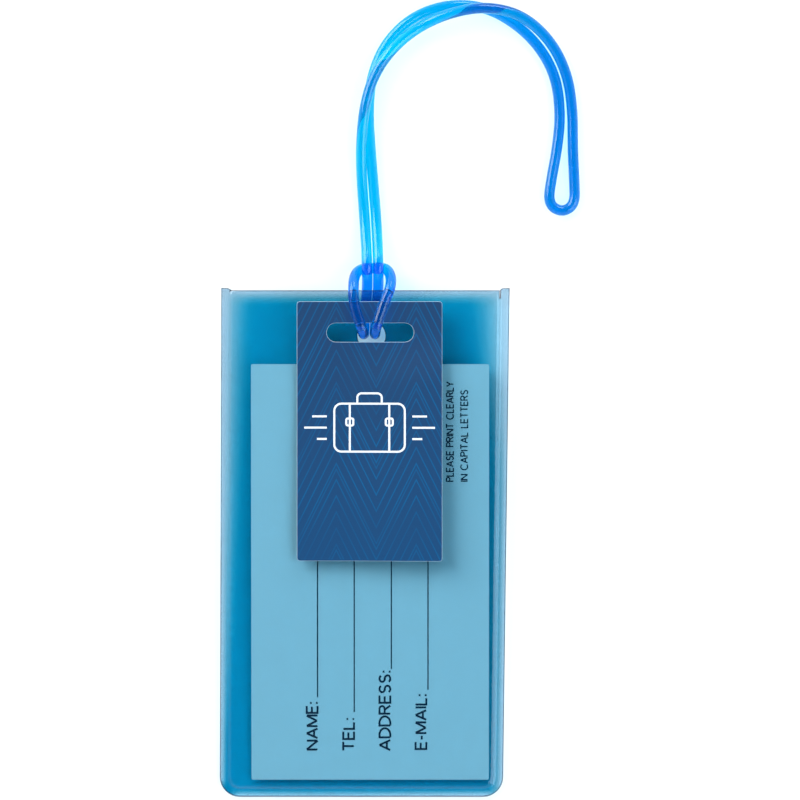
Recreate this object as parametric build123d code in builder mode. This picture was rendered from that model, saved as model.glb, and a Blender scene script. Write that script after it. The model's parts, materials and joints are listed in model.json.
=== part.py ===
from build123d import *
from math import asin, degrees, pi, radians, tan
import os

# Luggage tag: a welded soft-film sleeve with a loose address card inside, a printed hang card in
# front of it, and one moulded strap loop hitched through the sleeve's hole and the card's slot.
# Millimetres. The tag lies on its back, +Y towards the strap, +Z up through its thickness.

# Address card, a standard business card: the sleeve is sized to hold it
insert_width = 50.8
insert_length = 88.9
insert_thickness = 0.3
insert_corner = 0.4

# Sleeve
sheet_thickness = 0.5       # each soft film
weld_width = 1.6            # flat welded band along both sides and the bottom
pocket_depth = 0.5          # room between the films
room_left = 4.65            # pocket beside the card, at the bottom
room_right = 0.95
room_below = 1.6            # bottom edge of the card above the pocket's bottom
card_below_hole = 6.0       # top edge of the card below the hole's centre
left_skew = 0.45            # the left side stands this much further in at the top
right_skew = 1.3            # the right side stands this much further in at the bottom
corner_radius = 4.3         # the two bottom corners
lip_drop = 0.5              # the films' top edges lie this much below the weld bands' ends
shoulder_radius = 0.35      # soft edge where the front film rises from the weld

# Strap hole, punched through both films
hole_x = 1.5
hole_y = 44.2
hole_to_top = 10.2          # hole centre to the sleeve's top edge
hole_clearance = 1.35       # what the hole leaves around the strap's two strands

# Hang card
hang_width = 30.9
hang_length = 55.2
hang_thickness = 0.4
hang_x = 1.1
hang_corner = 0.6
hang_gap = 0.2              # air between the front film and the card
slot_width = 18.6
slot_height = 4.05
slot_x = 1.25
slot_above_hole = 0.73      # slot centre above the hole's centre
slot_to_top = 6.6           # slot centre to the card's top edge

# Strap
strap_diameter = 2.3
strand_spacing = 2.35       # between the two strands' centres, side by side in the hole
left_x = -0.1               # the left strand's centre in the hole
strap_gap = 0.1             # air between the strap and what it wraps
floor_gap = 0.05
arc_share = 0.45            # share of the shorter run that each bend takes

# Worked out from the sizes above
pocket_inset = weld_width + sheet_thickness
pouch_half_width = (
    2 * pocket_inset + room_left + insert_width + room_right + right_skew
) / 2
insert_x = -pouch_half_width + pocket_inset + room_left + insert_width / 2
top_y = hole_to_top
insert_y = -card_below_hole - insert_length / 2
bottom_y = -card_below_hole - insert_length - room_below - pocket_inset
strap_radius = strap_diameter / 2
right_x = left_x + strand_spacing
hole_diameter = strand_spacing + strap_diameter + hole_clearance
under_z = strap_radius + floor_gap
lift = under_z + strap_radius + strap_gap / 2
stack_height = 2 * sheet_thickness + pocket_depth + hang_gap + hang_thickness
over_z = lift + stack_height + strap_gap + strap_radius
middle_z = (under_z + over_z) / 2
tilt = degrees(asin(lift / -bottom_y))

# The strap's two strands pass under the tag's top strip, so that end rests higher. This plane is the
# sleeve's back face, with its centre at the hole.
tag_plane = Plane(origin=(0, hole_y, lift), x_dir=(1, 0, 0), z_dir=(0, 0, 1)).rotated((tilt, 0, 0))


def outline(inset, over_top):
    """The sleeve's skewed outline, inset on its three welded sides."""
    with BuildSketch() as shape:
        with BuildLine():
            Polyline(
                (-pouch_half_width + left_skew + inset, top_y + over_top),
                (-pouch_half_width + inset, bottom_y + inset),
                (pouch_half_width - right_skew - inset, bottom_y + inset),
                (pouch_half_width - inset, top_y + over_top),
                close=True,
            )
        make_face()
        fillet(shape.vertices().group_by(Axis.Y)[0], corner_radius - inset)
    return shape.sketch


def hole_and_lip():
    """What both films lose: the strap hole, and the strip by which their top edges lie lower."""
    with BuildSketch() as shape:
        with Locations((0, top_y)):
            Rectangle(2 * (pouch_half_width - pocket_inset), 2 * lip_drop)
        with Locations((hole_x, 0)):
            Circle(hole_diameter / 2)
    return shape.sketch


# Rear film
with BuildPart() as back_sheet:
    with BuildSketch(tag_plane):
        add(outline(0, 0))
    extrude(amount=sheet_thickness)
    with BuildSketch(tag_plane):
        add(hole_and_lip())
    extrude(amount=sheet_thickness, mode=Mode.SUBTRACT)

# Front film: a flat welded rim, and a field raised over the pocket
with BuildPart() as front_sheet:
    with BuildSketch(tag_plane.offset(sheet_thickness)):
        add(outline(0, 0))
    extrude(amount=sheet_thickness)
    with BuildSketch(tag_plane.offset(sheet_thickness)):
        add(outline(weld_width, 0))
    extrude(amount=pocket_depth + sheet_thickness)
    upward = Axis(tag_plane.origin, tag_plane.z_dir)
    raised_face = front_sheet.faces().filter_by(tag_plane).group_by(upward)[-1].face()
    fillet(raised_face.edges(), shoulder_radius)
    with BuildSketch(tag_plane.offset(sheet_thickness)):
        add(outline(pocket_inset, lip_drop))
    extrude(amount=pocket_depth, mode=Mode.SUBTRACT)
    with BuildSketch(tag_plane.offset(sheet_thickness)):
        add(hole_and_lip())
    extrude(amount=pocket_depth + sheet_thickness, mode=Mode.SUBTRACT)

# Address card, loose in the pocket
insert_plane = tag_plane.offset(sheet_thickness + (pocket_depth - insert_thickness) / 2)
with BuildPart() as id_insert:
    with BuildSketch(insert_plane):
        with Locations((insert_x, insert_y)):
            RectangleRounded(insert_width, insert_length, insert_corner)
    extrude(amount=insert_thickness)

# Hang card, threaded on the strap
hang_plane = tag_plane.offset(stack_height - hang_thickness)
with BuildPart() as hang_card:
    with BuildSketch(hang_plane):
        with Locations((hang_x, slot_above_hole + slot_to_top - hang_length / 2)):
            RectangleRounded(hang_width, hang_length, hang_corner)
        with Locations((slot_x, slot_above_hole)):
            SlotOverall(slot_width, slot_height, mode=Mode.SUBTRACT)
    extrude(amount=hang_thickness)

# Strap: one closed moulded loop. The route starts at the middle of the hitch's bar.
bar_and_left_leg = [
    (1.9, 58.7, under_z),
    (-0.9, 58.55, under_z + 0.15),
    (-2.4, 57.05, over_z - 2.25),
    (-2.5, 54.3, over_z + 0.2),
    (-2.4, 50.5, over_z + 0.28),
    (left_x - 0.25, 45.6, over_z + 0.03),
]
left_turn = [
    (left_x, 44.27, middle_z),
    (left_x, 45.6, under_z),
]
outer_strand = [
    (0.1, 49.4, under_z),
    (0.42, 52.4, under_z),
    (0.6, 54.95, under_z + 0.05),
    (0.5, 58.6, 4.45),
    (0.25, 63.0, 2.7),
    (-0.25, 69.0, under_z),
    (-0.7, 77.5, 1.35),
    (-0.85, 85.0, 2.75),
    (0.05, 93.5, 3.75),
    (2.2, 100.2, 3.8),
    (6.2, 105.8, 3.0),
    (11.7, 110.3, 2.2),
    (18.35, 113.3, 3.4),
    (26.0, 114.6, 3.9),
    (33.75, 112.6, 3.1),
    (39.85, 107.2, 2.0),
    (43.4, 100.1, 1.35),
    (44.5, 92.4, under_z),
    (44.5, 84.6, under_z),
    (44.85, 77.5, under_z),
]
far_fold = [
    (45.0, 72.3, under_z),
    (42.15, 70.6, under_z),
    (39.2, 72.5, under_z),
]
inner_strand = [
    (40.0, 78.0, under_z),
    (41.2, 84.3, under_z),
    (41.9, 91.5, under_z),
    (41.0, 99.3, under_z),
    (37.8, 105.6, under_z),
    (32.7, 110.8, under_z),
    (26.0, 114.15, under_z),
    (18.1, 115.1, under_z),
    (10.4, 112.6, under_z),
    (4.6, 107.1, under_z),
    (1.5, 99.9, under_z),
    (0.75, 92.4, under_z),
    (1.15, 84.5, under_z),
    (1.9, 76.5, under_z),
    (2.75, 69.0, under_z),
    (2.95, 63.0, 2.7),
    (3.05, 58.6, 4.45),
    (2.95, 54.95, under_z + 0.05),
    (2.82, 52.4, under_z),
    (2.5, 49.4, under_z),
]
right_turn = [
    (right_x, 45.6, under_z),
    (right_x, 44.27, middle_z),
    (right_x + 0.05, 45.6, over_z + 0.03),
]
right_leg = [
    (4.0, 50.6, over_z + 0.28),
    (5.6, 54.3, over_z + 0.2),
    (6.0, 57.05, over_z - 2.25),
    (4.65, 58.8, under_z + 0.15),
]
outward_points = bar_and_left_leg + left_turn + outer_strand + far_fold
return_points = inner_strand + right_turn + right_leg
strap_points = outward_points + return_points


def bend_radii(points):
    """For each point of the closed route, the largest arc that its two runs allow."""
    radii = []
    for index, point in enumerate(points):
        here = Vector(point)
        arriving = here - Vector(points[index - 1])
        leaving = Vector(points[(index + 1) % len(points)]) - here
        half_turn = radians(arriving.get_angle(leaving)) / 2
        radii.append(arc_share * min(arriving.length, leaving.length) / tan(half_turn))
    return radii


# The loop is swept as two lengths that meet in the middle of a straight run, under the hitch's
# standing strands and beside the far fold, and become one ring.
strap_radii = bend_radii(strap_points)
outward_radii = strap_radii[: len(outward_points)]
return_radii = strap_radii[len(outward_points) :]
hitch_join = (Vector(return_points[-1]) + Vector(outward_points[0])) / 2
far_join = (Vector(outward_points[-1]) + Vector(return_points[0])) / 2
strap_length = 0
with BuildPart() as strap_loop:
    for points, radii, start, end in (
        (outward_points, outward_radii, hitch_join, far_join),
        (return_points, return_radii, far_join, hitch_join),
    ):
        with BuildLine() as strap_route:
            FilletPolyline(start, *points, end, radius=radii)
        strap_path = strap_route.wire()
        with BuildSketch(Plane(origin=strap_path @ 0, z_dir=strap_path % 0)):
            Circle(strap_radius)
        sweep(path=strap_path)
        strap_length += strap_path.length

pieces = {
    "back_sheet": back_sheet,
    "front_sheet": front_sheet,
    "id_insert": id_insert,
    "hang_card": hang_card,
    "strap_loop": strap_loop,
}
os.makedirs("parts", exist_ok=True)
for name, piece in pieces.items():
    piece.part.label = name
    export_step(piece.part, f"parts/{name}.step")

print("strap bend radii:", [round(radius, 2) for radius in strap_radii])
print("strap length:", round(strap_length, 1))
section = pi * strap_radius**2
print("strap volume over section times length:", strap_loop.part.volume / (section * strap_length))
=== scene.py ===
import json
import math

import bpy
import numpy as np
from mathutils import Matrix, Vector, geometry


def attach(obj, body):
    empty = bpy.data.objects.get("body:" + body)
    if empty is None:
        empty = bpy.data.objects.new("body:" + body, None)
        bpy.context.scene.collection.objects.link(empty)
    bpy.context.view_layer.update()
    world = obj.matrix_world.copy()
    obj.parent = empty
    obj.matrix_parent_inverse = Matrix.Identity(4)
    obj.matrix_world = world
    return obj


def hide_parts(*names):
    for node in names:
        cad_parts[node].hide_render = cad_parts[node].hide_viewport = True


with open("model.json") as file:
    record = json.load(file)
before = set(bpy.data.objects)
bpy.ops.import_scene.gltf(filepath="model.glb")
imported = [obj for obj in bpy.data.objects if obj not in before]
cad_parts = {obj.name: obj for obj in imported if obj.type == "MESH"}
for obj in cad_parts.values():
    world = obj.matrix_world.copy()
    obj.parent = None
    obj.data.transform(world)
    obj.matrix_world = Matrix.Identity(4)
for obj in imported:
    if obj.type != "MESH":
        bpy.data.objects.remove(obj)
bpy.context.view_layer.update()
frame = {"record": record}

# Luggage tag in soft blue film: a welded sleeve with an address card in it, a printed hang card
# in front, and one clear strap hitched through both. World lengths are in metres; the flat
# pieces are laid out in millimetres on the tag's own plane and put in place by onTag.
millimetre = 0.001


# Camera, straight above the tag
cameraSetup = {
    "across": 0.1707,  # width of the view at the tag
    "lens": 135,
    "sensor": 36,
    "overX": 0.00758,
    "overY": 0.03052,
    "focusZ": 0.0025,
    "nearClip": 0.05,
    "farClip": 20,
}
cameraData = bpy.data.cameras.new("tagCamera")
cameraData.lens = cameraSetup["lens"]
cameraData.sensor_width = cameraSetup["sensor"]
cameraData.clip_start = cameraSetup["nearClip"]
cameraData.clip_end = cameraSetup["farClip"]
tagCamera = bpy.data.objects.new("tagCamera", cameraData)
cameraRise = cameraSetup["across"] * cameraSetup["lens"] / cameraSetup["sensor"]
tagCamera.location = (cameraSetup["overX"], cameraSetup["overY"], cameraSetup["focusZ"] + cameraRise)
bpy.context.collection.objects.link(tagCamera)
bpy.context.scene.camera = tagCamera
bpy.context.scene.view_settings.view_transform = "Standard"
print("camera", tuple(round(value, 4) for value in tagCamera.location))


# Strap: the route of one closed moulded loop, a free spline
strapSetup = {
    "diameter": 0.0023,
    "length": 0.3245,  # once round, along its middle
    "exit": (0.0011, 0.0447, 0.0035),  # both strands pass through the sleeve's hole here
    "join": (0.003275, 0.05875, 0.001275),  # the closed loop's two ends meet under the hitch
    "sides": 7,  # how finely it is rounded
    "steps": 10,  # and how finely each stretch bends
}
barAndLeftLeg = [
    (0.0019, 0.0587, 0.0012), (-0.0009, 0.05855, 0.00135), (-0.00215, 0.05705, 0.0035),
    (-0.00235, 0.0543, 0.00595), (-0.0022, 0.0505, 0.00603), (-0.00035, 0.0453, 0.00615),
]
leftTurn = [(-0.0001, 0.04427, 0.003475), (-0.0001, 0.0456, 0.0012)]
outerStrand = [
    (0.0001, 0.0494, 0.0012), (0.00042, 0.0524, 0.0012), (0.0006, 0.05495, 0.00125),
    (0.00058, 0.0586, 0.00445), (0.00042, 0.063, 0.0027), (0.00004, 0.069, 0.0012),
    (-0.00061, 0.0775, 0.00135), (-0.00078, 0.085, 0.00275), (0.00005, 0.0935, 0.00375),
    (0.0022, 0.1002, 0.0038), (0.0062, 0.1058, 0.003), (0.0117, 0.1103, 0.0022),
    (0.01835, 0.1131, 0.0034), (0.026, 0.11435, 0.0039), (0.03375, 0.1126, 0.0031),
    (0.03985, 0.1072, 0.002), (0.0434, 0.1001, 0.00135), (0.0445, 0.0924, 0.0012),
    (0.0445, 0.0846, 0.0012), (0.04485, 0.0775, 0.0012),
]
farFold = [(0.045, 0.0723, 0.0012), (0.04215, 0.0706, 0.0012), (0.0392, 0.0725, 0.0012)]
innerStrand = [
    (0.04, 0.078, 0.0012), (0.0412, 0.0843, 0.0012), (0.0419, 0.0915, 0.0012),
    (0.041, 0.0993, 0.0012), (0.0378, 0.1056, 0.0012), (0.0327, 0.1108, 0.0012),
    (0.026, 0.11455, 0.0012), (0.0181, 0.1152, 0.0012), (0.0104, 0.1126, 0.0012),
    (0.0046, 0.1071, 0.0012), (0.0015, 0.0999, 0.0012), (0.00075, 0.0924, 0.0012),
    (0.00123, 0.0845, 0.0012), (0.0019, 0.0765, 0.0012), (0.00252, 0.069, 0.0012),
    (0.00282, 0.063, 0.0027), (0.00297, 0.0586, 0.00445), (0.00295, 0.05495, 0.00125),
    (0.00282, 0.0524, 0.0012), (0.0025, 0.0494, 0.0012),
]
rightTurn = [(0.00225, 0.0456, 0.0012), (0.00225, 0.04427, 0.003475), (0.0023, 0.0453, 0.00615)]
rightLeg = [
    (0.004, 0.0506, 0.00603), (0.0056, 0.0543, 0.00595),
    (0.0057, 0.05705, 0.0035), (0.0045, 0.0588, 0.00135),
]
strapRoute = [strapSetup["join"], *barAndLeftLeg, *leftTurn, *outerStrand, *farFold]
strapRoute += [*innerStrand, *rightTurn, *rightLeg, strapSetup["join"]]


def strapCurve(name, route):
    data = bpy.data.curves.new(name, "CURVE")
    data.dimensions = "3D"
    spline = data.splines.new("NURBS")
    spline.points.add(len(route) - 1)
    for knot, place in zip(spline.points, route):
        knot.co = (*place, 1)
        knot.radius = strapSetup["diameter"] / 2
    spline.order_u = 3
    spline.use_endpoint_u = True
    spline.resolution_u = strapSetup["steps"]
    spline.use_smooth = True
    data.bevel_depth = 1  # the knots' own radius is the strap's
    data.bevel_resolution = strapSetup["sides"]
    data.use_fill_caps = True
    strap = bpy.data.objects.new(name, data)
    bpy.context.collection.objects.link(strap)
    return strap


clearStrap = strapCurve("clear_strap", strapRoute)
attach(clearStrap, "sleeve")
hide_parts("strap_loop")
print("strap", len(strapRoute), "points")


# The tag's own plane, tilted a little because the strap lifts its top end
slideAxis = next(
    joint["axis"]
    for joint in frame["record"]["behaviour"]["joints"]
    if joint["name"] == "address_card_slide"
)
tagPlane = {
    "origin": Vector((0, 0.0442, 0.0024)),  # back face of the sleeve, level with the hole
    "across": Vector((1, 0, 0)),
    "along": Vector(slideAxis).normalized(),
}
tagPlane["out"] = tagPlane["across"].cross(tagPlane["along"])


def onTag(u, v, w):
    place = tagPlane["across"] * u + tagPlane["along"] * v + tagPlane["out"] * w
    return tagPlane["origin"] + place * millimetre


# How every flat piece is made
sharpestCorner = 0.5  # beyond this a corner's points stop moving out further
rowHeight = 0.866  # of an even triangle, against its side
loopRoom = 0.4  # free of grid points beside an outline, in steps
creaseRoom = 0.35
smoothAngle = math.radians(38)


def ease(value, start, end):
    share = np.clip((value - start) / (end - start), 0, 1)
    return share * share * (3 - 2 * share)


def split(line, step, closed=True):
    # long edges of a line get points along them, so the skin's triangles stay even
    points = []
    for (u, v), (nextU, nextV) in zip(line, line[1:] + line[:1] if closed else line[1:]):
        count = max(1, round(math.hypot(nextU - u, nextV - v) / step))
        points += [
            (u + (nextU - u) * turn / count, v + (nextV - v) * turn / count) for turn in range(count)
        ]
    return points if closed else points + [line[-1]]


def arc(centreU, centreV, radius, fromDegrees, toDegrees, count):
    return [
        (
            centreU + radius * math.cos(math.radians(angle)),
            centreV + radius * math.sin(math.radians(angle)),
        )
        for angle in np.linspace(fromDegrees, toDegrees, count)
    ]


def roundedBox(centreU, centreV, width, length, radius, count):
    loop = []
    for signU, signV, start in ((1, -1, -90), (1, 1, 0), (-1, 1, 90), (-1, -1, 180)):
        cornerU = centreU + signU * (width / 2 - radius)
        cornerV = centreV + signV * (length / 2 - radius)
        loop += arc(cornerU, cornerV, radius, start, start + 90, count)
    return loop


def slotLoop(centreU, centreV, width, height, count):
    reach = (width - height) / 2
    right = arc(centreU + reach, centreV, height / 2, -90, 90, count)
    left = arc(centreU - reach, centreV, height / 2, 90, 270, count)
    return right + left


def sideways(arriving, leaving):
    # at each corner the direction square to the line, and how much less than a full step it gains
    arriving /= np.linalg.norm(arriving, axis=1, keepdims=True)
    leaving /= np.linalg.norm(leaving, axis=1, keepdims=True)
    side = arriving + leaving
    side = np.stack([-side[:, 1], side[:, 0]], axis=1)
    side /= np.linalg.norm(side, axis=1, keepdims=True)
    square = side[:, 0] * -leaving[:, 1] + side[:, 1] * leaving[:, 0]
    return side, np.maximum(square, sharpestCorner)


def insetLoop(loop, amount):
    points = np.array(loop)
    side, square = sideways(points - np.roll(points, 1, axis=0), np.roll(points, -1, axis=0) - points)
    return (points + side * amount / square[:, None]).tolist()


def distanceTo(points, line, closed):
    starts = np.array(line if closed else line[:-1])
    ends = np.roll(np.array(line), -1, axis=0)[: len(starts)]
    along = ends - starts
    offset = np.array(points)[:, None, :] - starts
    share = np.clip((offset * along).sum(-1) / (along**2).sum(-1), 0, 1)
    return np.sqrt(((offset - share[..., None] * along) ** 2).sum(-1)).min(1)


def isInside(points, loop):
    u, v = np.array(points)[:, None, :].transpose(2, 0, 1)
    starts = np.array(loop)
    ends = np.roll(starts, -1, axis=0)
    rise = np.where(ends[:, 1] == starts[:, 1], 1e-12, ends[:, 1] - starts[:, 1])
    crossing = starts[:, 0] + (v - starts[:, 1]) * (ends[:, 0] - starts[:, 0]) / rise
    hits = ((starts[:, 1] > v) != (ends[:, 1] > v)) & (u < crossing)
    return hits.sum(1) % 2 == 1


def flatPiece(name, outer, holes, top, bottom, step, edge, creases=(), marks=None):
    # a thin closed piece: two skins of even triangles, soft edges of the given width, and walls
    loops = [split(outer, step)] + [split(hole, step) for hole in holes]
    points = []
    links = []
    for index, loop in enumerate(loops):
        for line in (loop, insetLoop(loop, edge if index == 0 else -edge)):
            first = len(points)
            points += line
            links += [(first + at, first + (at + 1) % len(line)) for at in range(len(line))]
    for crease in creases:
        first = len(points)
        points += crease
        links += [(first + at, first + at + 1) for at in range(len(crease) - 1)]
    low, high = np.min(loops[0], axis=0), np.max(loops[0], axis=0)
    rows = np.arange(low[1], high[1], step * rowHeight)
    grid = [
        (u + (row % 2) * step / 2, v)
        for row, v in enumerate(rows)
        for u in np.arange(low[0], high[0], step)
    ]
    keep = isInside(grid, loops[0])
    for hole in loops[1:]:
        keep &= ~isInside(grid, hole)
    for loop in loops:
        keep &= distanceTo(grid, loop, True) > edge + step * loopRoom
    for crease in creases:
        keep &= distanceTo(grid, crease, False) > step * creaseRoom
    points += [place for place, kept in zip(grid, keep) if kept]
    result = geometry.delaunay_2d_cdt([Vector(p) for p in points], links, [], 0, 1e-6, True)
    places, faces, cameFrom = result[0], result[2], result[3]
    flat = np.array([tuple(place) for place in places])
    newIndex = {old: new for new, olds in enumerate(cameFrom) for old in olds}
    centres = np.array([flat[list(face)].mean(0) for face in faces])
    used = isInside(centres, loops[0])
    for hole in loops[1:]:
        used &= ~isInside(centres, hole)
    faces = [tuple(face) for face, kept in zip(faces, used) if kept]
    rims = []
    first = 0
    for loop in loops:
        rims.append([newIndex[first + at] for at in range(len(loop))])
        first += 2 * len(loop)
    onRim = np.zeros(len(flat))
    for rim in rims:
        onRim[rim] = 1
    topHeights = top(flat) - onRim * edge
    bottomHeights = bottom(flat) + onRim * edge
    vertices = [onTag(u, v, w) for (u, v), w in zip(flat, topHeights)]
    vertices += [onTag(u, v, w) for (u, v), w in zip(flat, bottomHeights)]
    under = len(flat)
    skins = [(face, 0) for face in faces]
    skins += [(tuple(under + at for at in reversed(face)), 1) for face in faces]
    skins = [
        (face, 2 if any(onRim[at % under] for at in face) else side) for face, side in skins
    ]
    for index, rim in enumerate(rims):
        for here, after in zip(rim, rim[1:] + rim[:1]):
            wall = (under + here, under + after, after, here)
            skins.append((wall if index == 0 else wall[::-1], 2))
    mesh = bpy.data.meshes.new(name)
    mesh.from_pydata(vertices, [], [face for face, side in skins])
    mesh.polygons.foreach_set("material_index", [side for face, side in skins])
    for label, values in (marks(flat) if marks else {}).items():
        mark = mesh.attributes.new(label, "FLOAT", "POINT")
        mark.data.foreach_set("value", np.tile(values, 2).astype(np.float32))
    mesh.shade_smooth()
    mesh.set_sharp_from_angle(angle=smoothAngle)
    piece = bpy.data.objects.new(name, mesh)
    bpy.context.collection.objects.link(piece)
    print(name, len(mesh.polygons), "faces")
    return piece


# Sleeve: two welded films
sleeveSetup = {
    "topLeft": -30.5,
    "bottomLeft": -30.95,
    "bottomRight": 29.65,
    "topRight": 30.95,
    "top": 10.2,
    "lip": 9.7,  # the films' top edges, a little below the weld bands' ends
    "bottom": -98.6,
    "cornerRadius": 4.3,
    "leastRadius": 0.6,  # of the lines that run inside those corners
    "film": 0.5,
    "room": 0.5,  # between the films
    "weld": 1.6,
    "pocketInset": 2.1,
    "shoulderEarly": 0.15,  # the front film starts to rise this much before the weld ends
    "shoulderLate": 0.6,  # and lies level this much inside the pocket's edge, on its outside
    "pocketLate": 0.1,  # and this much on its inside
    "creases": (1.35, 1.6, 1.85, 2.1, 2.4, 2.9),  # lines of points that the rise bends along
    "creaseTop": 1.2,
    "slit": 1.6,  # how deep the mouth is slit at its right end
    "beyondTop": 4,
    "holeU": 1.5,
    "holeDiameter": 6.0,
    "holeSides": 48,
    "weldAir": 0.02,
    "floorAir": 0.01,
    "softEdge": 0.18,
    "wave": 0.035,
    "waveFrom": 2.2,  # from the outline inwards, where the waves begin and are whole
    "waveWhole": 7,
    "innerWave": 0.5,  # the share of them that the front film's inside follows
    "step": 1.5,
}


# Widths over which the film's colour deepens from each side, painted light reaching in under its edges
fadeSetup = {
    "leftLow": 1.1,
    "leftRise": 6.6,
    "rightLow": 3.8,
    "rightRise": 6.0,
    "rightFrom": -34,
    "rightTo": 8,
    "below": 1.0,
    "belowRise": 0.9,
    "belowTo": 28,
    "above": 3.3,
    "start": 0.08,
    "rimShare": 0.42,
}


def weldLine(inset, topInset=0.0):
    # down the left side, along the bottom and up the right side
    s = sleeveSetup
    radius = max(s["cornerRadius"] - inset, s["leastRadius"])
    left, right = s["bottomLeft"] + inset, s["bottomRight"] - inset
    base = s["bottom"] + inset
    line = [(s["topLeft"] + inset, s["top"] - topInset)]
    line += arc(left + radius, base + radius, radius, 180, 270, 9)
    line += arc(right - radius, base + radius, radius, 270, 360, 9)
    line.append((s["topRight"] - inset, s["top"] - topInset))
    return split(line, s["step"], closed=False)


def sleeveOuter():
    # the weld line, closed along the mouth: its right end is slit, and its left end slopes down
    s = sleeveSetup
    leftIn, rightIn = s["topLeft"] + s["pocketInset"], s["topRight"] - s["pocketInset"]
    top, lip = s["top"], s["lip"]
    mouth = [
        (rightIn + 0.5, top - 0.08), (rightIn + 0.05, lip + 0.06), (rightIn + 0.04, lip - s["slit"]),
        (rightIn - 0.04, lip - s["slit"]), (rightIn - 0.05, lip), (leftIn + 0.1, lip),
        (leftIn, lip + 0.12), (leftIn - 0.2, top - 0.3), (leftIn - 0.7, top - 0.02),
    ]
    return weldLine(0) + mouth


def sleeveDistances(flat):
    # from the three welded sides, whose line goes on past the mouth
    return distanceTo(flat, weldLine(0, -sleeveSetup["beyondTop"]), False)


def paintedLightMarks(flat):
    # painted light: paler film where light reaches in under its edges, further where the sleeve lies
    # higher
    s, f = sleeveSetup, fadeSetup
    u, v = flat[:, 0], flat[:, 1]
    climb = (v - s["bottom"]) / (s["top"] - s["bottom"])
    leftLean, rightLean = s["topLeft"] - s["bottomLeft"], s["topRight"] - s["bottomRight"]
    left = (u - s["bottomLeft"] - leftLean * climb) / (f["leftLow"] + f["leftRise"] * climb)
    rightWidth = f["rightLow"] + f["rightRise"] * ease(v, f["rightFrom"], f["rightTo"])
    right = (s["bottomRight"] + rightLean * climb - u) / rightWidth
    below = (v - s["bottom"]) / (f["below"] + f["belowRise"] * ease(u, 0, f["belowTo"]))
    above = (s["lip"] - v) / f["above"]
    depth = np.ones(len(flat))
    rim = np.ones(len(flat))
    for side in (left, right, below, above):
        depth *= ease(side, f["start"], 1)
        rim *= ease(side, 0, f["rimShare"])
    return {"depth": depth, "rim": 1 - rim}


def pouch(flat):
    # gentle unevenness of the loose film over the pocket: waves that cross, in radians a millimetre
    s = sleeveSetup
    u, v = flat[:, 0], flat[:, 1]
    swell = np.sin(u * 0.21 + 0.7) * np.sin(v * 0.13 + 0.4) + 0.6 * np.sin(u * 0.09 - v * 0.17 + 1.9)
    return s["wave"] * swell * ease(sleeveDistances(flat), s["waveFrom"], s["waveWhole"])


def backTop(flat):
    return np.full(len(flat), sleeveSetup["film"] - sleeveSetup["weldAir"] / 2)


def backBottom(flat):
    return np.full(len(flat), sleeveSetup["floorAir"])


def frontTop(flat):
    s = sleeveSetup
    start, level = s["weld"] - s["shoulderEarly"], s["pocketInset"] + s["shoulderLate"]
    rise = ease(sleeveDistances(flat), start, level)
    return 2 * s["film"] + rise * s["room"] + pouch(flat)


def frontBottom(flat):
    s = sleeveSetup
    rise = ease(sleeveDistances(flat), s["weld"], s["pocketInset"] + s["pocketLate"])
    lowest = s["film"] + s["weldAir"] / 2
    return lowest + rise * (s["room"] - s["weldAir"] / 2) + pouch(flat) * s["innerWave"]


holeSides = sleeveSetup["holeSides"]
holeEnd = 360 - 360 / holeSides
holeLoop = arc(sleeveSetup["holeU"], 0, sleeveSetup["holeDiameter"] / 2, 0, holeEnd, holeSides)
weldCreases = [weldLine(inset, sleeveSetup["creaseTop"]) for inset in sleeveSetup["creases"]]
backFilm = flatPiece(
    "back_film", sleeveOuter(), [holeLoop], backTop, backBottom,
    sleeveSetup["step"], sleeveSetup["softEdge"], weldCreases[1:4], paintedLightMarks,
)
frontFilm = flatPiece(
    "front_film", sleeveOuter(), [holeLoop], frontTop, frontBottom,
    sleeveSetup["step"], sleeveSetup["softEdge"], weldCreases, paintedLightMarks,
)
for film, node in ((backFilm, "back_sheet"), (frontFilm, "front_sheet")):
    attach(film, "sleeve")
    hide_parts(node)


# Address card, loose between the films
addressSetup = {
    "centreU": 1.2,
    "centreV": -50.45,
    "width": 50.8,
    "length": 88.9,
    "corner": 0.4,
    "under": 0.6,
    "over": 0.9,
    "bow": 0.03,
    "bowAcross": 0.06,  # radians a millimetre
    "bowShift": 0.5,
    "bowAlong": 0.05,
    "softEdge": 0.04,
    "step": 3.0,
    "ink": 0.012,  # how far the print stands on the paper
}


def addressBow(flat):
    # one slow wave each way, as loose paper lies
    a = addressSetup
    across = np.sin(flat[:, 0] * a["bowAcross"] + a["bowShift"])
    return a["bow"] * across * np.cos(flat[:, 1] * a["bowAlong"])


def addressTop(flat):
    return addressSetup["over"] + addressBow(flat)


def addressBottom(flat):
    return addressSetup["under"] + addressBow(flat)


a = addressSetup
addressOutline = roundedBox(a["centreU"], a["centreV"], a["width"], a["length"], a["corner"], 4)
addressCard = flatPiece(
    "address_paper", addressOutline, [], addressTop, addressBottom, a["step"], a["softEdge"],
)
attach(addressCard, "address_card")
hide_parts("id_insert")

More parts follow.
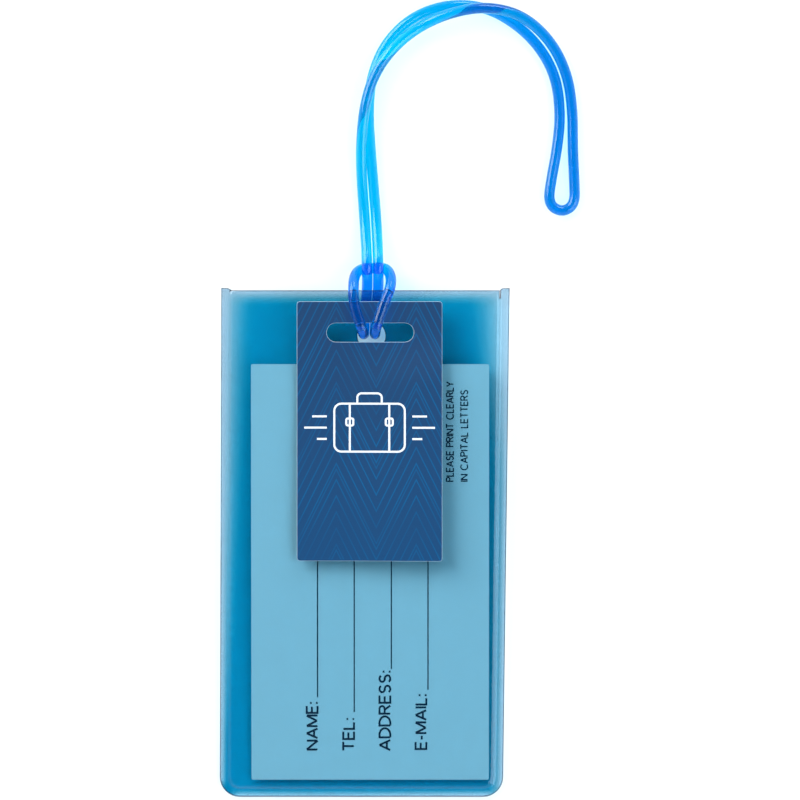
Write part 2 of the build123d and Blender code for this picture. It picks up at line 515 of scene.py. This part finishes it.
# Words read up the card: where each stands across the tag, where it starts and how long it is,
# then where its writing line stands and starts, or for a note how high its letters are
addressPrint = {
    "capHeight": 2.3,
    "weight": 0.19,  # of the pen lines, against the letters' height
    "gap": 0.21,  # between letters, against their height
    "lineWidth": 0.26,
    "linePoints": 24,
    "lineEnd": -11.5,
    "words": [
        ("NAME:", -10.05, -88.4, 10.1, -10.03, -77.2),
        ("TEL:", -2.25, -88.6, 6.85, -2.2, -80.4),
        ("ADDRESS:", 5.5, -88.5, 16.9, 5.73, -71.15),
        ("E-MAIL:", 13.2, -88.3, 11.65, 13.56, -75.6),
    ],
    "notes": [
        ("PLEASE PRINT CLEARLY", 18.95, -31.0, 21.2, 1.45),
        ("IN CAPITAL LETTERS", 22.0, -31.0, 19.4, 1.45),
    ],
}


def pieceOf(name, meshes):
    # many small meshes as one piece
    vertices = []
    faces = []
    for mesh in meshes:
        first = len(vertices)
        vertices += [vertex.co.copy() for vertex in mesh.vertices]
        faces += [tuple(first + at for at in face.vertices) for face in mesh.polygons]
        bpy.data.meshes.remove(mesh)
    joined = bpy.data.meshes.new(name)
    joined.from_pydata(vertices, [], faces)
    piece = bpy.data.objects.new(name, joined)
    bpy.context.collection.objects.link(piece)
    print(name, len(faces), "faces")
    return piece


def inkStroke(path, width, surface, thickness, closed=False):
    # a flat ribbon of ink along a line, a closed thin solid
    points = np.array(path, dtype=float)
    if closed:
        arriving, leaving = points - np.roll(points, 1, axis=0), np.roll(points, -1, axis=0) - points
    else:
        steps = np.diff(points, axis=0)
        arriving = np.vstack([steps[:1], steps])
        leaving = np.vstack([steps, steps[-1:]])
    side, square = sideways(arriving, leaving)
    reach = side * (width / 2 / square)[:, None]
    vertices = []
    for (u, v), (du, dv) in zip(points, reach):
        for sign in (1, -1):
            place = np.array([[u + du * sign, v + dv * sign]])
            ground = float(surface(place)[0])
            for height in (0, thickness):
                vertices.append(onTag(place[0, 0], place[0, 1], ground + height))
    count = len(points)
    faces = []
    for at in range(count if closed else count - 1):
        here, after = at * 4, (at + 1) % count * 4
        for one, two in ((0, 1), (1, 3), (3, 2), (2, 0)):
            faces.append((here + one, after + one, after + two, here + two))
    if not closed:
        last = (count - 1) * 4
        faces += [(0, 2, 3, 1), (last, last + 1, last + 3, last + 2)]
    mesh = bpy.data.meshes.new("stroke")
    mesh.from_pydata(vertices, [], faces)
    return mesh


# Plain capitals as pen lines on a box one high: how wide each is, then its lines
bowl = arc(0.34, 0.76, 0.24, 90, -90, 9)
letterLines = {
    "A": (0.76, [[(0, 0), (0.38, 1)], [(0.38, 1), (0.76, 0)], [(0.13, 0.32), (0.63, 0.32)]]),
    "C": (0.78, [[(0.43 + u * 0.9, v) for u, v in arc(0, 0.5, 0.5, 48, 312, 17)]]),
    "D": (0.7, [[(0, 0), (0, 1), (0.24, 1)] + arc(0.2, 0.5, 0.5, 84, -84, 13) + [(0.24, 0), (0, 0)]]),
    "E": (0.56, [[(0.56, 0), (0, 0), (0, 1), (0.56, 1)], [(0, 0.52), (0.5, 0.52)]]),
    "I": (0.04, [[(0.02, 0), (0.02, 1)]]),
    "L": (0.5, [[(0, 1), (0, 0), (0.5, 0)]]),
    "M": (0.86, [
        [(0, 0), (0, 1)], [(0.02, 1), (0.43, 0.05)], [(0.43, 0.05), (0.84, 1)], [(0.86, 1), (0.86, 0)],
    ]),
    "N": (0.72, [[(0, 0), (0, 1)], [(0.01, 1), (0.71, 0)], [(0.72, 0), (0.72, 1)]]),
    "P": (0.58, [[(0, 0), (0, 1), *bowl, (0, 0.52)]]),
    "R": (0.62, [[(0, 0), (0, 1), *bowl, (0, 0.52)], [(0.3, 0.52), (0.62, 0)]]),
    "S": (0.58, [arc(0.29, 0.755, 0.245, 25, 255, 13) + arc(0.29, 0.255, 0.255, 75, -155, 13)]),
    "T": (0.66, [[(0, 1), (0.66, 1)], [(0.33, 0), (0.33, 1)]]),
    "Y": (0.68, [[(0, 1), (0.34, 0.46)], [(0.68, 1), (0.34, 0.46)], [(0.34, 0.5), (0.34, 0)]]),
    "-": (0.3, [[(0, 0.42), (0.3, 0.42)]]),
    ":": (0.08, [[(0.04, -0.02), (0.04, 0.14)], [(0.04, 0.54), (0.04, 0.7)]]),
    " ": (0.3, []),
}


def inkWord(words, baseU, startV, length, capHeight):
    gap = addressPrint["gap"]
    stroke = capHeight * addressPrint["weight"]
    full = sum(letterLines[letter][0] + gap for letter in words) - gap
    stretch = length / full
    strokes = []
    along = 0
    for letter in words:
        wide, lines = letterLines[letter]
        for line in lines:
            path = [(baseU - v * capHeight, startV + (along + u) * stretch) for u, v in line]
            strokes.append(inkStroke(path, stroke, addressTop, addressSetup["ink"]))
        along += wide + gap
    return strokes


printed = []
for words, baseU, startV, length, lineU, lineStart in addressPrint["words"]:
    printed += inkWord(words, baseU, startV, length, addressPrint["capHeight"])
    lineLevels = np.linspace(lineStart, addressPrint["lineEnd"], addressPrint["linePoints"])
    path = [(lineU, v) for v in lineLevels]
    printed.append(inkStroke(path, addressPrint["lineWidth"], addressTop, a["ink"]))
for words, baseU, startV, length, capHeight in addressPrint["notes"]:
    printed += inkWord(words, baseU, startV, length, capHeight)
addressInk = pieceOf("address_print", printed)
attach(addressInk, "address_card")


# Hang card, threaded on the strap
hangSetup = {
    "centreU": 1.1,
    "centreV": -20.27,
    "width": 30.9,
    "length": 55.2,
    "corner": 0.6,
    "under": 1.7,
    "over": 2.1,
    "slotU": 1.25,
    "slotV": 0.73,
    "slotWidth": 18.6,
    "slotHeight": 4.05,
    "softEdge": 0.06,
    "step": 1.4,
    "curl": 1.0,  # how far its free end lifts
    "curlOver": 50,
    "twist": 1.3,  # and its right side
    "twistFrom": -9,  # across the card, from its middle
    "twistBelow": -1.5,  # down the card from the hole
    "twistWhole": 11,
    "ink": 0.012,
}


def hangCurl(flat):
    # flat under the strap, lifting towards its free end and along its right side
    h = hangSetup
    across, below = flat[:, 0] - h["centreU"], -flat[:, 1]
    down = ease(below, 0, h["curlOver"])
    aside = ease(across, h["twistFrom"], h["width"] / 2)
    aside = aside * ease(below, h["twistBelow"], h["twistWhole"])
    return h["curl"] * down + h["twist"] * aside


def hangTop(flat):
    return hangSetup["over"] + hangCurl(flat)


def hangBottom(flat):
    return hangSetup["under"] + hangCurl(flat)


h = hangSetup
hangOutline = roundedBox(h["centreU"], h["centreV"], h["width"], h["length"], h["corner"], 5)
hangSlot = slotLoop(h["slotU"], h["slotV"], h["slotWidth"], h["slotHeight"], 12)
hangCard = flatPiece(
    "hang_board", hangOutline, [hangSlot], hangTop, hangBottom, h["step"], h["softEdge"],
)
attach(hangCard, "hang_card")
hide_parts("hang_card")

# White line drawing of a suitcase, in the middle of the card
badgeSetup = {
    "centreU": 1.1,
    "centreV": -19.5,
    "width": 15.0,
    "length": 10.2,
    "corner": 1.5,
    "stroke": 0.42,
    "spacing": 1,  # of the points along its outline
    "beltAt": 4.2,
    "buckle": 1.5,
    "buckleUp": 1.2,
    "buckleCorner": 0.35,
    "handleWidth": 5.2,
    "handleHeight": 2.2,
    "handleBend": 0.9,
    "trail": [(2.4, 9.1, 12.2), (0.0, 9.1, 13.9), (-2.4, 9.1, 11.2)],  # level, nearest, furthest
    "trailPoints": 5,
}
b = badgeSetup
badgeTop = b["centreV"] + b["length"] / 2
badgeBase = b["centreV"] - b["length"] / 2
caseBox = roundedBox(b["centreU"], b["centreV"], b["width"], b["length"], b["corner"], 7)
handleLeft = b["centreU"] - b["handleWidth"] / 2
handleRight = b["centreU"] + b["handleWidth"] / 2
bend = b["handleBend"]
bendV = badgeTop + b["handleHeight"] - bend
handle = [(handleLeft, badgeTop)]
handle += arc(handleLeft + bend, bendV, bend, 180, 90, 6)
handle += arc(handleRight - bend, bendV, bend, 90, 0, 6)
handle.append((handleRight, badgeTop))
badge = [(split(caseBox, b["spacing"]), True), (handle, False)]  # each line, and whether it closes
for side in (-1, 1):
    beltU = b["centreU"] + side * b["beltAt"]
    badge.append(([(beltU, badgeBase), (beltU, b["centreV"]), (beltU, badgeTop)], False))
    buckleV = b["centreV"] + b["buckleUp"]
    badge.append((roundedBox(beltU, buckleV, b["buckle"], b["buckle"], b["buckleCorner"], 4), True))
for side in (-1, 1):
    for level, near, far in b["trail"]:
        places = np.linspace(near, far, b["trailPoints"])
        path = [(b["centreU"] + side * at, b["centreV"] + level) for at in places]
        badge.append((path, False))
badgeInk = pieceOf(
    "hang_badge",
    [inkStroke(path, b["stroke"], hangTop, h["ink"], closed) for path, closed in badge],
)
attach(badgeInk, "hang_card")


# Finishes
def newFinish(name):
    finish = bpy.data.materials.new(name)
    finish.use_nodes = True
    tree = finish.node_tree
    return finish, tree, tree.nodes["Principled BSDF"], tree.nodes["Material Output"]


def addNode(tree, kind, inputs=None, **settings):
    node = tree.nodes.new("ShaderNode" + kind)
    for name, value in settings.items():
        setattr(node, name, value)
    for name, value in (inputs or {}).items():
        if isinstance(value, bpy.types.NodeSocket):
            tree.links.new(value, node.inputs[name])
        else:
            node.inputs[name].default_value = value
    return node


def sums(tree, operation, first, second):
    return addNode(tree, "Math", {0: first, 1: second}, operation=operation).outputs[0]


def colour(values):
    return (*values, 1)


def mixColours(tree, share, first, second):
    node = addNode(tree, "Mix", data_type="RGBA")
    for socket, value in ((node.inputs[0], share), (node.inputs[6], first), (node.inputs[7], second)):
        if isinstance(value, bpy.types.NodeSocket):
            tree.links.new(value, socket)
        else:
            socket.default_value = value if isinstance(value, float) else colour(value)
    return node.outputs[2]


def setBump(tree, shader, height, strength, distance):
    bump = addNode(tree, "Bump", {"Strength": strength, "Distance": distance, "Height": height})
    tree.links.new(bump.outputs["Normal"], shader.inputs["Normal"])


def letLightThrough(tree, shader, output, shade):
    # lamps shine through the clear film or strap, hardly dimmed, instead of stopping at it
    clear = addNode(tree, "BsdfTransparent")
    clear.inputs["Color"].default_value = colour([math.sqrt(value) for value in shade])
    path = addNode(tree, "LightPath")
    mix = addNode(tree, "MixShader", {0: path.outputs["Is Shadow Ray"]})
    tree.links.new(shader.outputs[0], mix.inputs[1])
    tree.links.new(clear.outputs[0], mix.inputs[2])
    tree.links.new(mix.outputs[0], output.inputs["Surface"])


def filmFinish(name, look):
    finish, tree, shader, output = newFinish(name)
    depth = addNode(tree, "Attribute", attribute_name="depth").outputs["Fac"]
    rim = addNode(tree, "Attribute", attribute_name="rim").outputs["Fac"]
    place = addNode(tree, "TexCoord").outputs["Object"]
    # painted light: the edge and rim colours are paler where light reaches in under the film
    body = mixColours(tree, depth, look["edge"], look["middle"])
    tint = mixColours(tree, rim, body, look["rim"])
    tint = addNode(tree, "Gamma", {"Color": tint, "Gamma": 2.0}).outputs[0]  # there and back
    shader.inputs["Roughness"].default_value = look["roughness"]
    shader.inputs["IOR"].default_value = look["ior"]
    shader.inputs["Transmission Weight"].default_value = 1
    tree.links.new(tint, shader.inputs["Base Color"])
    ripple = addNode(tree, "TexNoise", {"Vector": place, "Scale": look["rippleScale"], "Detail": 2.0})
    setBump(tree, shader, ripple.outputs[0], look["rippleStrength"], look["rippleDepth"])
    letLightThrough(tree, shader, output, look["shade"])
    return finish


def cutFinish(name, look):
    finish, tree, shader, output = newFinish(name)
    shader.inputs["Base Color"].default_value = colour(look["tint"])
    shader.inputs["Roughness"].default_value = look["roughness"]
    shader.inputs["IOR"].default_value = look["ior"]
    shader.inputs["Transmission Weight"].default_value = 1
    place = addNode(tree, "TexCoord").outputs["Object"]
    grain = addNode(tree, "TexNoise", {"Vector": place, "Scale": look["grainScale"], "Detail": 3.0})
    setBump(tree, shader, grain.outputs[0], look["grainStrength"], look["grainDepth"])
    letLightThrough(tree, shader, output, look["shade"])
    return finish


# The rim and edge colours are painted light, paler under the edges; the back film's are almost clear
filmLooks = {
    "front": {
        "rim": (0.638, 0.751, 0.828), "edge": (0.452, 0.648, 0.727), "middle": (0.447, 0.642, 0.722),
        "roughness": 0.06, "ior": 1.45, "shade": (0.93, 0.965, 0.98),
        "rippleScale": 160.0, "rippleStrength": 0.08, "rippleDepth": 0.0003,
    },
    "back": {
        "rim": (0.97, 0.98, 0.99), "edge": (0.97, 0.98, 0.99), "middle": (0.03, 0.748, 0.882),
        "roughness": 0.06, "ior": 1.45, "shade": (0.93, 0.965, 0.98),
        "rippleScale": 140.0, "rippleStrength": 0.08, "rippleDepth": 0.0003,
    },
    # the cut edges' dark grey is painted shade, for the dark outline at the film's edges
    "cut": {
        "tint": (0.07, 0.1, 0.155), "shade": (0.7, 0.75, 0.8), "roughness": 0.2, "ior": 1.45,
        "grainScale": 2200.0, "grainStrength": 0.25, "grainDepth": 0.0002,
    },
}
filmCut = cutFinish("film_cut_edge", filmLooks["cut"])
for film, side in ((backFilm, "back"), (frontFilm, "front")):
    finish = filmFinish(side + "_film_blue", filmLooks[side])
    for skin in (finish, finish, filmCut):
        film.data.materials.append(skin)


def strapFinish(name, look):
    finish, tree, shader, output = newFinish(name)
    place = addNode(tree, "TexCoord").outputs["Object"]
    parts = addNode(tree, "SeparateXYZ", {"Vector": place})
    # painted shade: the skin deepens away from the tag and in the hitch, less on the hitch's bar
    outward = addNode(tree, "MapRange", {0: parts.outputs[0], 1: look["near"], 2: look["far"]})
    folded = addNode(tree, "MapRange", {0: parts.outputs[1], 1: look["hitchEnd"], 2: look["hitchStart"]})
    skin = mixColours(tree, outward.outputs[0], look["skin"], look["farShadeSkin"])
    skin = mixColours(tree, folded.outputs[0], skin, look["hitchShadeSkin"])
    lowDown = addNode(tree, "MapRange", {0: parts.outputs[2], 1: look["barHigh"], 2: look["barLow"]})
    onBar = addNode(tree, "MapRange", {0: parts.outputs[1], 1: look["barStart"], 2: look["barEnd"]})
    onBar = sums(tree, "MULTIPLY", lowDown.outputs[0], onBar.outputs[0])
    onBar = sums(tree, "MULTIPLY", onBar, folded.outputs[0])
    skin = mixColours(tree, onBar, skin, look["barSkin"])
    tree.links.new(skin, shader.inputs["Base Color"])
    shader.inputs["Roughness"].default_value = look["roughness"]
    shader.inputs["IOR"].default_value = look["ior"]
    shader.inputs["Transmission Weight"].default_value = look["clearness"]
    flow = addNode(tree, "TexNoise", {"Vector": place, "Scale": look["flowScale"], "Detail": 1.0})
    setBump(tree, shader, flow.outputs[0], look["flowStrength"], look["flowDepth"])
    letLightThrough(tree, shader, output, look["shade"])
    absorbed = {"Color": colour(look["through"]), "Density": look["density"]}
    inside = addNode(tree, "VolumeAbsorption", absorbed)
    tree.links.new(inside.outputs[0], output.inputs["Volume"])
    return finish


strapLook = {
    "skin": (0.0, 0.49, 0.72),
    "farShadeSkin": (0.0, 0.25, 0.62),  # painted shade, deeper towards the far fold
    # painted shade, deeper in the hitch where the strands dip steeply and lie in shadow
    "hitchShadeSkin": (0.0, 0.27, 0.75),
    "barSkin": (0.0, 0.42, 0.86),  # the hitch's bar, under the two strands, with less painted shade
    "near": 0.006,
    "far": 0.042,
    "hitchEnd": 0.0615,
    "hitchStart": 0.0585,
    "barHigh": 0.0035,  # heights between which that shade comes in, and then places along the tag
    "barLow": 0.002,
    "barStart": 0.0563,
    "barEnd": 0.0575,
    "flowScale": 120.0,
    "flowStrength": 0.04,
    "flowDepth": 0.0003,
    "clearness": 0.92,
    "shade": (0.93, 0.99, 1.0),  # what it takes from the light that it lets through
    "through": (0.5, 0.8, 0.97),
    "density": 200.0,
    "roughness": 0.06,
    "ior": 1.45,
}
clearStrap.data.materials.append(strapFinish("strap_clear_blue", strapLook))


def paperFinish(name, look):
    finish, tree, shader, _ = newFinish(name)
    place = addNode(tree, "TexCoord").outputs["Object"]
    fibres = addNode(tree, "TexNoise", {"Vector": place, "Scale": look["fibreScale"], "Detail": 6.0})
    cloud = addNode(tree, "TexNoise", {"Vector": place, "Scale": look["cloudScale"], "Detail": 2.0})
    body = mixColours(tree, fibres.outputs[0], look["dark"], look["light"])
    body = mixColours(tree, cloud.outputs[0], body, look["light"])
    tree.links.new(body, shader.inputs["Base Color"])
    shader.inputs["Roughness"].default_value = look["roughness"]
    shader.inputs["Specular IOR Level"].default_value = look["specular"]
    setBump(tree, shader, fibres.outputs[0], look["bump"], look["fibreDepth"])
    return finish


paperLooks = {
    "address": {
        "dark": (0.86, 0.86, 0.85), "light": (0.93, 0.93, 0.92), "fibreScale": 2600.0,
        "cloudScale": 90.0, "roughness": 0.75, "specular": 0.3, "bump": 0.2, "fibreDepth": 0.00004,
    },
    "core": {
        "dark": (0.38, 0.49, 0.6), "light": (0.52, 0.63, 0.73), "fibreScale": 5200.0,
        "cloudScale": 400.0, "roughness": 0.85, "specular": 0.2, "bump": 0.5, "fibreDepth": 0.00004,
    },
}
addressPaper = paperFinish("address_paper_white", paperLooks["address"])
cardCore = paperFinish("card_core_white", paperLooks["core"])
for skin in (addressPaper, addressPaper, cardCore):
    addressCard.data.materials.append(skin)


def inkFinish(name, look):
    finish, tree, shader, _ = newFinish(name)
    place = addNode(tree, "TexCoord").outputs["Object"]
    speckle = addNode(tree, "TexNoise", {"Vector": place, "Scale": look["scale"], "Detail": 4.0})
    body = mixColours(tree, speckle.outputs[0], look["first"], look["second"])
    tree.links.new(body, shader.inputs["Base Color"])
    shader.inputs["Roughness"].default_value = look["roughness"]
    setBump(tree, shader, speckle.outputs[0], look["bump"], look["grainDepth"])
    return finish


inkLooks = {
    "navy": {
        "first": (0.005, 0.01, 0.03), "second": (0.012, 0.024, 0.06), "scale": 3000.0,
        "roughness": 0.6, "bump": 0.1, "grainDepth": 0.00002,
    },
    "white": {
        "first": (0.82, 0.84, 0.88), "second": (0.92, 0.93, 0.95), "scale": 3000.0,
        "roughness": 0.45, "bump": 0.1, "grainDepth": 0.00002,
    },
}
addressInk.data.materials.append(inkFinish("ink_navy", inkLooks["navy"]))
badgeInk.data.materials.append(inkFinish("ink_white", inkLooks["white"]))


def chevronLines(tree, x, y, look, shift, pitch):
    # nested chevrons: height along the card less a zigzag across it, cut into even fine lines
    across = sums(tree, "ADD", x, look["columnShift"])
    zigzag = sums(tree, "PINGPONG", across, look["halfColumn"])
    climb = sums(tree, "MULTIPLY", zigzag, look["slope"])
    phase = sums(tree, "ADD", sums(tree, "SUBTRACT", y, climb), shift)
    ridge = sums(tree, "PINGPONG", phase, pitch / 2)
    solid = look["lineWidth"] * look["lineCore"]
    node = addNode(tree, "MapRange", {0: ridge, 1: solid, 2: look["lineWidth"], 3: 1.0, 4: 0.0})
    return node.outputs[0]


def printedFinish(name, look):
    finish, tree, shader, _ = newFinish(name)
    place = addNode(tree, "TexCoord").outputs["Object"]
    parts = addNode(tree, "SeparateXYZ", {"Vector": place})
    x, y = parts.outputs[0], parts.outputs[1]
    lines = chevronLines(tree, x, y, look, 0.0, look["pitch"])
    extra = chevronLines(tree, x, y, look, look["extraShift"], look["pitch"] * look["extraEvery"])
    bands = addNode(tree, "TexNoise", {"Vector": place, "Scale": look["bandScale"], "Detail": 0.0})
    fadeRange = {1: look["bandLow"], 2: look["bandHigh"], 3: look["faintest"], 4: 1.0}
    fade = addNode(tree, "MapRange", {0: bands.outputs[0], **fadeRange})
    lines = sums(tree, "MULTIPLY", lines, fade.outputs[0])
    lines = sums(tree, "MAXIMUM", lines, sums(tree, "MULTIPLY", extra, look["extraShare"]))
    rise = addNode(tree, "MapRange", {0: y, 1: look["low"], 2: look["high"], 3: 0.0, 4: 1.0})
    ground = mixColours(tree, rise.outputs[0], look["lower"], look["upper"])
    speckle = addNode(tree, "TexNoise", {"Vector": place, "Scale": look["speckleScale"], "Detail": 5.0})
    speckled = sums(tree, "MULTIPLY", speckle.outputs[0], look["speckleShare"])
    ground = mixColours(tree, speckled, ground, look["line"])
    face = mixColours(tree, lines, ground, look["line"])
    tree.links.new(face, shader.inputs["Base Color"])
    shader.inputs["Roughness"].default_value = look["roughness"]
    shader.inputs["Specular IOR Level"].default_value = look["specular"]
    setBump(tree, shader, speckle.outputs[0], look["bump"], look["speckleDepth"])
    return finish


chevronLook = {
    "lower": (0.0055, 0.054, 0.155),
    "upper": (0.0095, 0.0425, 0.12),
    "line": (0.001, 0.088, 0.238),
    "columnShift": 0.01447,
    "halfColumn": 0.0085,
    "slope": 2.0,
    "pitch": 0.00344,
    "lineWidth": 0.0004,
    "lineCore": 0.4,  # the share of it that is solid
    "extraShift": 0.0012,  # a second set of lines, further apart
    "extraEvery": 5,
    "extraShare": 0.7,
    "bandScale": 70.0,  # broad patches where the lines are fainter
    "bandLow": 0.35,
    "bandHigh": 0.62,
    "faintest": 0.35,
    "speckleScale": 2400.0,
    "speckleShare": 0.12,
    "speckleDepth": 0.00003,
    "low": -0.004,
    "high": 0.052,
    "roughness": 0.42,
    "specular": 0.35,
    "bump": 0.15,
}
hangPrint = printedFinish("hang_print_navy", chevronLook)
for skin in (hangPrint, cardCore, cardCore):
    hangCard.data.materials.append(skin)
print("finishes")


# Floor and lights
stageSetup = {
    "floorReach": 3.0,
    "floorDrop": 0.0001,
    "floorColour": (0.9, 0.9, 0.9),
    "floorRoughness": 0.8,
    "floorSpecular": 0.1,
    "horizon": (0.9, 1.0, 1.06),
    "horizonEnd": 0.25,  # heights between which it turns into the zenith's
    "zenithStart": 0.9,
    "zenith": (0.02, 0.02, 0.02),
}
floorData = bpy.data.meshes.new("floor")
reach = stageSetup["floorReach"]
corners = [(-reach, -reach), (reach, -reach), (reach, reach), (-reach, reach)]
floorData.from_pydata([(x, y, -stageSetup["floorDrop"]) for x, y in corners], [], [(0, 1, 2, 3)])
floor = bpy.data.objects.new("floor", floorData)
bpy.context.collection.objects.link(floor)
floorFinish, _, floorShader, _ = newFinish("floor_white")
floorShader.inputs["Base Color"].default_value = colour(stageSetup["floorColour"])
floorShader.inputs["Roughness"].default_value = stageSetup["floorRoughness"]
floorShader.inputs["Specular IOR Level"].default_value = stageSetup["floorSpecular"]
floorData.materials.append(floorFinish)

world = bpy.data.worlds.new("studio")
bpy.context.scene.world = world
world.use_nodes = True
worldTree = world.node_tree
around = addNode(worldTree, "TexCoord").outputs["Generated"]
upward = addNode(worldTree, "SeparateXYZ", {"Vector": around}).outputs[2]
skyRange = {1: stageSetup["horizonEnd"], 2: stageSetup["zenithStart"], 3: 0.0, 4: 1.0}
climbing = addNode(worldTree, "MapRange", {0: upward, **skyRange})
sky = mixColours(worldTree, climbing.outputs[0], stageSetup["horizon"], stageSetup["zenith"])
worldTree.links.new(sky, worldTree.nodes["Background"].inputs["Color"])

lampSetup = {
    "key": {"place": (-0.78, 0.62, 0.62), "size": 0.9, "power": 15.0, "colour": (1.03, 1.0, 0.97)},
    "fill": {"place": (0.75, -0.35, 0.8), "size": 0.8, "power": 7.5, "colour": (0.8, 1.0, 1.1)},
    "rear": {"place": (0.25, 0.95, 0.6), "size": 0.5, "power": 4.0, "colour": (0.9, 1.0, 1.05)},
}
lampAim = Vector((0.0, 0.02, 0.0))
for name, lamp in lampSetup.items():
    lampData = bpy.data.lights.new(name, "AREA")
    lampData.shape = "SQUARE"
    lampData.size = lamp["size"]
    lampData.energy = lamp["power"]
    lampData.color = lamp["colour"]
    lampObject = bpy.data.objects.new(name, lampData)
    lampObject.location = lamp["place"]
    lampObject.rotation_euler = (lampAim - Vector(lamp["place"])).to_track_quat("-Z", "Y").to_euler()
    bpy.context.collection.objects.link(lampObject)
print("floor and lights")
